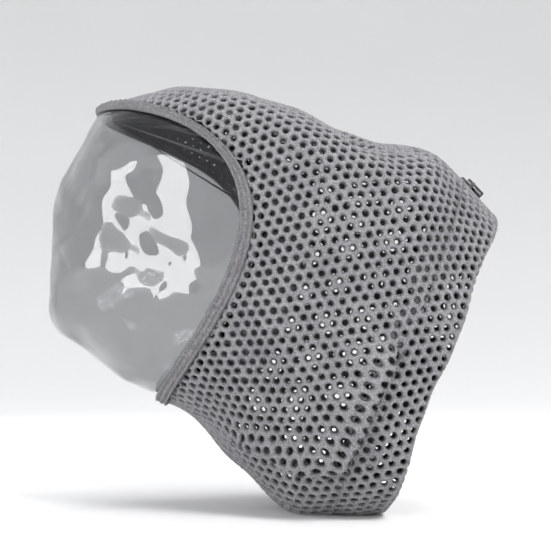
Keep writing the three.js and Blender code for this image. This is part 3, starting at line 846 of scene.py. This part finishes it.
def ringLine(distance, height, fromNeck=False, count=720, skip=0.0):
    angles = np.linspace(-math.pi + 1e-3, math.pi - 1e-3, count)
    angles = angles[np.abs(angles) > skip]
    if skip:
        angles = np.roll(angles, -int((angles < 0).sum()))
    backs = np.array([backAt(a, [distance], fromNeck)[0] for a in angles])
    return offSkin(backs, angles, np.full(len(angles), height)), skinNormal(backs, angles)


def makeStitches():
    height = hem["thick"] - hem["pull"] + 0.0004
    rows = []
    for row, place in zip(hem["rows"], ("front", "rear")):
        line, normals = ringLine(row, height)
        name, node = place + "_hem_stitches", "visor_stitch_" + place
        rows.append(stitchRow(name, line, normals, hem["stitch"], [node]))
    line, normals = ringLine(casing["width"] + 0.0008, hood["layer"] + 0.0002, True, skip=0.09)
    line[:, 2] = np.maximum(line[:, 2], 0.0006)
    stitchRow("casing_stitches", line, normals, 0.0032, ["casing_stitch"], closed=False)
    return rows


hemStitches = makeStitches()
print("stitches sewn")

# seam tapes inside the crown and the chin
tape = {"width": 0.014, "thick": 0.0010, "clear": 0.0009, "across": 15, "along": 90}


def seamTape(name, node, underChin):
    middle = math.pi if underChin else 0.0
    lo, hi = backAt(middle, [0.0148])[0], backAt(middle, [casing["width"] + 0.0016], True)[0]
    full = hood["underFull"] if underChin else hood["crownFull"]
    points = []
    for back in np.linspace(lo, hi, tape["along"]):
        reach = stationLine(back, sidePoints)[1] * (1 + full)
        ys = np.linspace(-0.5, 0.5, tape["across"]) * tape["width"]
        angles = middle - ys / reach if underChin else ys / reach
        edge = np.abs(np.linspace(-1, 1, tape["across"]))
        weave = 0.00008 * np.sin(ys * 5200 + back * 90)
        sewn = 0.0003 * np.exp(-(((edge - 0.72) / 0.1) ** 2))
        outer = offSkin(np.full(tape["across"], back), angles, -tape["clear"] - sewn + weave)
        inner = offSkin(np.full(tape["across"], back), angles, -tape["clear"] - tape["thick"] + sewn + weave)
        points.append(np.concatenate([outer, inner[::-1]]))
    count = 2 * tape["across"]
    faces = ringFaces(tape["along"], count, wrap=False)
    for k in range(tape["across"] - 1):
        faces.append((k, k + 1, count - 2 - k, count - 1 - k))
        base = (tape["along"] - 1) * count
        faces.append((base + k + 1, base + k, base + count - 1 - k, base + count - 2 - k))
    middles = np.array([ring[tape["across"] // 2] for ring in points])
    cuts[name] = [tape["width"], float(np.linalg.norm(np.diff(middles, axis=0), axis=1).sum())], None
    return newPiece(name, np.concatenate(points), faces, tapeWeave, replaces=[node], slot="seam_tape")


crownTape = seamTape("crown_tape", "crown_seam_tape", False)
chinTape = seamTape("chin_tape", "chin_seam_tape", True)

# visor: one clear sheet, bulged forward, creased where it has been folded
visor = {
    "thick": 0.0006,
    "margin": 0.014,
    "gap": 0.0004,
    "rise": 0.588,  # height of its foremost point, as a share of the hood's height
    "square": 0.80,  # under 1 spaces the rows closer to the rim
    "flat": 0.85,  # how flat its front stands along the middle
    "corner": 0.50,  # where it turns back towards the rim there
    "bevel": 0.05,
    "around": 320,
    "across": 64,
    # creases on the near side: places as shares of the hood's length and height, then depth and width
    "creases": [
        ([(0.155, 0.66), (0.14, 0.52), (0.10, 0.50), (0.02, 0.47)], 0.0030, 0.010),
        ([(0.21, 0.55), (0.15, 0.50), (0.08, 0.43)], 0.0022, 0.008),
        ([(0.05, 0.42), (0.10, 0.36), (0.15, 0.28)], 0.0030, 0.010),
        ([(0.02, 0.62), (0.06, 0.55)], 0.0020, 0.008),
        ([(0.18, 0.86), (0.11, 0.74), (0.05, 0.62)], 0.0020, 0.014),
        ([(0.30, 0.80), (0.20, 0.66), (0.16, 0.52)], 0.0030, 0.020),
        ([(0.33, 0.60), (0.25, 0.50), (0.20, 0.38)], 0.0026, 0.018),
    ],
}


def visorSheet():
    frontX = -hood["length"] / 2 + shiftX + visor["thick"] / 2
    front = np.array([frontX, 0, hood["layer"] + visor["rise"] * hood["height"]])
    middle = -visor["gap"] - visor["thick"] / 2
    angles = np.linspace(0, 2 * math.pi, visor["around"], endpoint=False)
    turns = (np.arange(visor["across"]) / visor["across"]) * math.pi / 2
    rim = offSkin(np.zeros(len(angles)), angles, np.full(len(angles), middle))
    spread = np.sin(turns) ** visor["square"]
    flatFront = np.log1p(np.exp((spread - visor["corner"]) / visor["bevel"]))
    atRim = np.log1p(np.exp((1 - visor["corner"]) / visor["bevel"]))
    flatFront = (flatFront - flatFront[0]) / (atRim - flatFront[0])
    upright = (np.cos(angles) ** 2)[:, None] * visor["flat"]
    depth = (1 - upright) * (1 - np.sqrt(1 - np.minimum(spread, 1) ** 2)) + upright * flatFront
    strip = np.empty((len(angles), len(turns), 3))
    strip[..., 0] = front[0] + (rim[:, None, 0] - front[0]) * depth
    strip[..., 1] = rim[:, None, 1] * spread
    strip[..., 2] = front[2] + (rim[:, None, 2] - front[2]) * spread
    # the dome, then its margin behind the hem and the mesh
    edge = []
    for distance in (0, 0.0038, 0.0079, visor["margin"]):
        edge.append(np.array([offSkin(backAt(a, [distance]), a, np.array([middle]))[0] for a in angles]))
    return np.concatenate([strip, np.stack(edge, 1)], 1)


def creaseDepth(points, fade):
    shareX = (points[..., 0] - shiftX) / hood["length"] + 0.5
    shareZ = (points[..., 2] - hood["layer"]) / hood["height"]
    share = np.stack([shareX, shareZ], -1)
    size = np.array([hood["length"], hood["height"]])
    total = np.zeros(points.shape[:-1])
    for line, depth, wide in visor["creases"]:
        line = np.array(line)
        nearest = np.full(total.shape, 1.0)
        place = np.zeros(total.shape)
        for k in range(len(line) - 1):
            run = (line[k + 1] - line[k]) * size
            away = (share - line[k]) * size
            t = np.clip((away @ run) / (run @ run), 0, 1)
            distance = np.linalg.norm(away - t[..., None] * run, axis=-1)
            better = distance < nearest
            nearest = np.where(better, distance, nearest)
            place = np.where(better, (k + t) / (len(line) - 1), place)
        ends = smooth(place / 0.25 + 0.15) * smooth((1 - place) / 0.25 + 0.15)
        total -= depth * ends * np.exp(-nearest / wide)
    near = smooth((-points[..., 1] - 0.004) / 0.02)
    return total * near * fade


def makeVisor():
    sheet = visorSheet()
    along = np.gradient(sheet, axis=1)
    around = np.roll(sheet, -1, 0) - np.roll(sheet, 1, 0)
    normal = unit(np.cross(along, around))
    normal[:, 0] = (-1, 0, 0)
    steps = np.arange(sheet.shape[1]) / visor["across"]
    fade = smooth((1 - steps) / 0.12) * np.ones(len(sheet))[:, None]
    soft = 0.0016 * waves(sheet, 0.07, 41) + 0.0004 * waves(sheet, 0.022, 42)
    low = smooth((0.13 - sheet[..., 2]) / 0.05) * smooth((-0.055 - sheet[..., 0]) / 0.05)
    shift = (soft + 0.0035 * low) * fade + creaseDepth(sheet, fade)
    middle = sheet + normal * shift[..., None]
    middle[:, 0] = middle[:, 0].mean(0)
    middle[..., 0] = np.maximum(middle[..., 0], cadBounds[0].x - 0.0005)
    half = visor["thick"] / 2
    outer, inner = middle + normal * half, middle - normal * half
    ring = np.concatenate([outer, inner[:, ::-1]], 1)
    count = ring.shape[1]
    points = ring.reshape(-1, 3)
    faces = ringFaces(len(ring), count)
    # the last quad of each ring would join the two poles, so it is left out, and each pole is one point
    tips = [0, count - 1]
    kept = []
    for face in faces:
        named = [tips[0] if f % count == 0 else tips[1] if f % count == count - 1 else f for f in face]
        named = list(dict.fromkeys(named))
        if tips[0] in named and tips[1] in named:
            continue
        if len(named) > 2:
            kept.append(named[::-1])
    used = sorted({i for f in kept for i in f})
    renumber = {old: new for new, old in enumerate(used)}
    kept = [[renumber[i] for i in f] for f in kept]
    return newPiece("visor_sheet", points[used], kept, film, slot="clear_sheet", replaces=visorNodes)


makeVisor()
print("visor shaped")

# drawcord through the casing and the lock, with its knot
cord = {
    "thick": 0.0024,
    "inset": 0.026,  # neck edge to its centre line
    "spacing": 0.0027,
    "rise": 0.0076,
    "tailEnd": 0.046,
    "sides": 16,
    "plait": 0.0042,  # length of one turn of the plait
}
napeBack = backAt(0, [cord["inset"]], True)[0]
napePoint = skinPoint(napeBack, 0.0)
napeOut = skinNormal(napeBack, 0.0)
napeDown = unit(np.cross([0, 1, 0], napeOut))


def atNape(right, out):
    return napePoint + (np.array([0, 1, 0]) * right + napeOut * out) / 1000


outerTail = (cord["rise"] + cord["spacing"]) * 1000
innerTail = cord["rise"] * 1000
leftTail = [
    (cord["tailEnd"] * 1000, outerTail), (34, outerTail), (22, outerTail), (11, outerTail), (6, outerTail),
    (2, outerTail - 1), (-1.2, outerTail - 3.3), (-3, 4), (-4.6, 1), (-6.6, -1.3),
]
rightTail = [
    (5.6, -1.5), (3.2, 0), (2, 2.6), (2.7, 5.2), (5.2, 7.2), (9, innerTail), (17, innerTail), (30, innerTail),
    (cord["tailEnd"] * 1000, innerTail),
]


def cordRoute():
    reach = sidePoints[-1][1] * (1 + hood["crownFull"])
    mouth = math.asin(casing["mouth"] / reach)
    around = [a for a in np.arange(48) * math.pi / 24 if mouth < a < 2 * math.pi - mouth]
    angles = [mouth] + around + [2 * math.pi - mouth]
    inChannel = np.array([-cloth["channel"] / 2])
    held = [offSkin(backAt(a, [cord["inset"]], True), a, inChannel)[0] for a in angles]
    points = [atNape(*p) for p in leftTail] + held[::-1] + [atNape(*p) for p in rightTail]
    shares = np.linspace(0, 1, 2600)
    line = stationLine(shares, np.array(points))
    run = np.concatenate([[0], np.cumsum(np.linalg.norm(np.diff(line, axis=0), axis=1))])
    even = np.linspace(0, run[-1], int(run[-1] / 0.0006))
    line = np.stack([np.interp(even, run, line[:, k]) for k in range(3)], -1)
    line[:, 2] = np.maximum(line[:, 2], cord["thick"] / 2 + 0.0001)
    return line, run[-1]


def tubePoints(line, radius, spin, across, third):
    ring = np.cos(spin)[None, :, None] * across[:, None] + np.sin(spin)[None, :, None] * third[:, None]
    return (line[:, None] + radius[..., None] * ring).reshape(-1, 3)


def makeCord():
    line, length = cordRoute()
    along = unit(np.gradient(line, axis=0))
    across = np.empty_like(line)
    across[0] = unit(np.cross(along[0], [0.3, 0.2, 1.0]))
    for k in range(1, len(line)):
        turned = across[k - 1] - along[k] * (across[k - 1] @ along[k])
        across[k] = unit(turned)
    third = np.cross(along, across)
    spin = np.linspace(0, 2 * math.pi, cord["sides"], endpoint=False)
    run = np.linspace(0, length, len(line))
    twist = 2 * math.pi * run / cord["plait"]
    oneWay, otherWay = 4 * spin[None] + twist[:, None], 4 * spin[None] - twist[:, None]
    strands = np.maximum(np.sin(oneWay), np.sin(otherWay))
    radius = cord["thick"] / 2 * (0.955 + 0.045 * strands)
    points = tubePoints(line, radius, spin, across, third)
    faces = ringFaces(len(line), cord["sides"], wrap=False)
    faces.append(tuple(reversed(range(cord["sides"]))))
    faces.append(tuple(range((len(line) - 1) * cord["sides"], len(line) * cord["sides"])))
    faces = [tuple(f) for f in faces]
    piece = newPiece("neck_drawcord", points, faces, cordYarn, replaces=["drawcord"], slot="cord")
    return piece, line, length


cordPiece, cordLine, cordLength = makeCord()
print("drawcord laid, m:", round(cordLength, 4))


knot = {"size": 0.0029, "squash": [0.75, 0.36, 0.36], "along": 150, "around": 12}


def makeKnot():
    low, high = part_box("cord_knot")
    centre = np.array((low + high) / 2)
    turns = np.linspace(0, 2 * math.pi, knot["along"], endpoint=False)
    loops = [
        np.sin(3 * turns) * 1.15,
        np.sin(turns) + 2 * np.sin(2 * turns),
        np.cos(turns) - 2 * np.cos(2 * turns),
    ]
    shape = np.stack(loops, -1)
    basis = np.stack([[0, 1, 0], napeOut, napeDown])
    line = centre + (shape * knot["squash"]) @ basis * knot["size"]
    along = unit(np.roll(line, -1, 0) - np.roll(line, 1, 0))
    toMiddle = unit(line - centre)
    across = unit(np.cross(along, toMiddle))
    third = np.cross(along, across)
    spin = np.linspace(0, 2 * math.pi, knot["around"], endpoint=False)
    radius = cord["thick"] / 2 * (0.96 + 0.04 * np.sin(4 * spin[None] + turns[:, None] * 40))
    points = tubePoints(line, radius, spin, across, third)
    faces = ringFaces(knot["along"], knot["around"])
    return newPiece("cord_end_knot", points, faces, cordYarn, replaces=["cord_knot"], slot="cord")


knotPiece = makeKnot()

# carried-over solids get their finish
for node, material, slotName in (
    ("cord_lock_body", blackPlastic, "black_plastic"),
    ("cord_lock_plunger", blackPlastic, "black_plastic"),
    ("cord_lock_spring", steel, "spring_steel"),
):
    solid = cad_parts[node]
    solid.data.materials.clear()
    solid.data.materials.append(material)

# floor and light
stageSet = {"floor": 1.2, "wall": 3.0, "top": 2.2, "tone": 0.86}


def makeStage():
    profile = [(0.0, 0.0), (stageSet["floor"], 0.0)]
    for t in np.linspace(0, math.pi / 2, 13)[1:]:
        bend = stageSet["wall"] - stageSet["floor"]
        profile.append((stageSet["floor"] + bend * math.sin(t), stageSet["top"] * (1 - math.cos(t))))
    around = 96
    points = [(0, 0, 0)]
    for radius, height in profile[1:]:
        turns = np.arange(around) * 2 * math.pi / around
        points += [(radius * math.cos(a), radius * math.sin(a), height) for a in turns]
    faces = [(0, 1 + k, 1 + (k + 1) % around) for k in range(around)]
    for ring in range(len(profile) - 2):
        a, b = 1 + ring * around, 1 + (ring + 1) * around
        faces += [(a + k, b + k, b + (k + 1) % around, a + (k + 1) % around) for k in range(around)]
    mesh = bpy.data.meshes.new("floor")
    mesh.from_pydata(points, [], faces)
    mesh.shade_smooth()
    n = Nodes("pale floor")
    dark, light = stageSet["tone"] - 0.01, stageSet["tone"] + 0.01
    tone = n.ramp(n.noise(3, 2, 0.4), [(0.2, (dark,) * 3), (0.8, (light,) * 3)])
    mesh.materials.append(n.finish(Base_Color=tone, Roughness=0.95))
    floor = bpy.data.objects.new("floor", mesh)
    bpy.context.scene.collection.objects.link(floor)


def softbox(name, place, aim, size, power, tint=(1, 1, 1)):
    light = bpy.data.lights.new(name, "AREA")
    light.shape = "RECTANGLE"
    light.size, light.size_y = size
    light.energy = power
    light.color = tint
    lamp = bpy.data.objects.new(name, light)
    bpy.context.scene.collection.objects.link(lamp)
    lamp.location = place
    lamp.rotation_mode = "QUATERNION"
    lamp.rotation_quaternion = (Vector(aim) - Vector(place)).to_track_quat("-Z", "Y")


makeStage()
softbox("key", (0.75, -0.85, 1.15), (0, 0, 0.12), (0.5, 0.5), 22)
softbox("left softbox", (-0.95, -0.75, 0.20), (-0.05, 0, 0.12), (0.55, 0.6), 9)
softbox("top softbox", (0.2, 0.2, 1.5), (0, 0, 0.1), (0.9, 0.7), 14)
world = bpy.data.worlds.new("studio")
world.use_nodes = True
world.node_tree.nodes["Background"].inputs["Color"].default_value = (0.97, 0.985, 1.0, 1)
world.node_tree.nodes["Background"].inputs["Strength"].default_value = 0.62
bpy.context.scene.world = world
bpy.context.scene.view_settings.view_transform = "Standard"


for piece in facings:
    # a strip of even width, cut on a curve
    strip, area = facing["deep"] - cloth["start"], cuts[piece.name][1]
    cuts[piece.name] = [strip, area / strip], None
